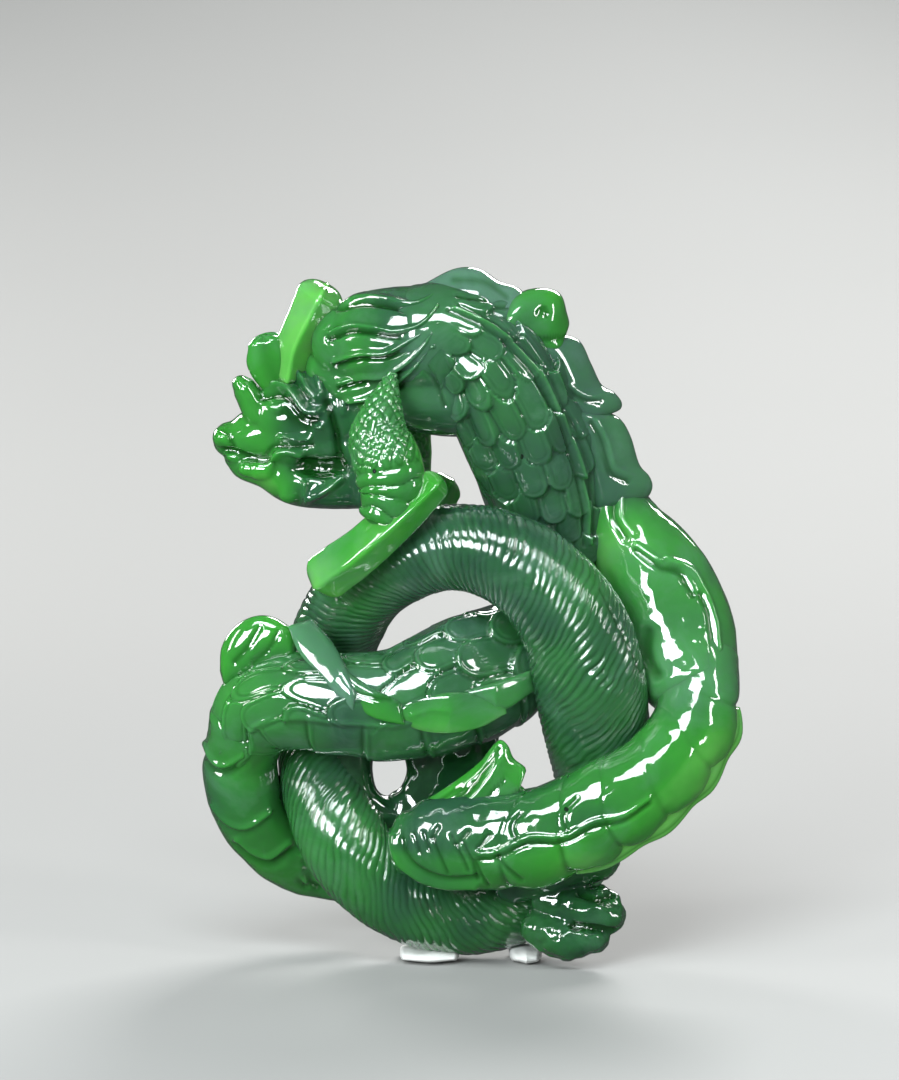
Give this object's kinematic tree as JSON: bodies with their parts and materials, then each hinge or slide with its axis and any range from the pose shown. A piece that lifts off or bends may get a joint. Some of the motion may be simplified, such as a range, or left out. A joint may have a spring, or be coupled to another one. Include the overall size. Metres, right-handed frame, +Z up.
{
  "type": "jade dragon figurine",
  "caption": "Openwork carving of a coiled dragon in polished green jade, standing upright on small putty pads.",
  "frame": {"origin": "centre of the bounding box at table level", "axes": "+Z up, -Y towards the viewer of the carved front, -X towards the dragon's head"},
  "size_m": [0.047, 0.02, 0.0624],
  "materials": {
    "deep_jade": "polished, translucent grey-green in the thick coils",
    "bright_jade": "polished, translucent bright green where the stone is thin",
    "putty": "matte"
  },
  "bodies": {
    "root": {"ring_coil_upper": "deep_jade", "ring_coil_lower": "deep_jade", "neck": "deep_jade", "upper_coil": "deep_jade", "middle_coil": "deep_jade", "left_coil": "bright_jade", "haunch": "bright_jade", "tail_coil": "bright_jade", "inner_bridge": "deep_jade", "dorsal_fin_1": "deep_jade", "dorsal_fin_2": "bright_jade", "dorsal_fin_3": "bright_jade", "dorsal_fin_4": "bright_jade", "spine_fin_1": "bright_jade", "spine_fin_2": "bright_jade", "spine_fin_3": "bright_jade", "side_fin_left": "bright_jade", "tail_edge_fin": "bright_jade", "tail_tuft": "bright_jade", "foreleg_left": "bright_jade", "fore_claw_left": "bright_jade", "foreleg_right": "deep_jade", "fore_claw_right": "bright_jade", "hind_foot_upper": "bright_jade", "hind_foot_lower": "bright_jade", "head_skull": "deep_jade", "snout": "bright_jade", "lower_jaw": "bright_jade", "throat_tuft": "deep_jade", "nasal_crest": "bright_jade", "horn_left": "bright_jade", "ear_left": "bright_jade", "brow_left": "bright_jade", "cheek_mane_left": "deep_jade", "horn_right": "bright_jade", "ear_right": "bright_jade", "brow_right": "bright_jade", "cheek_mane_right": "deep_jade", "putty_pad_left": "putty", "putty_pad_right": "putty"}
  },
  "joints": []
}
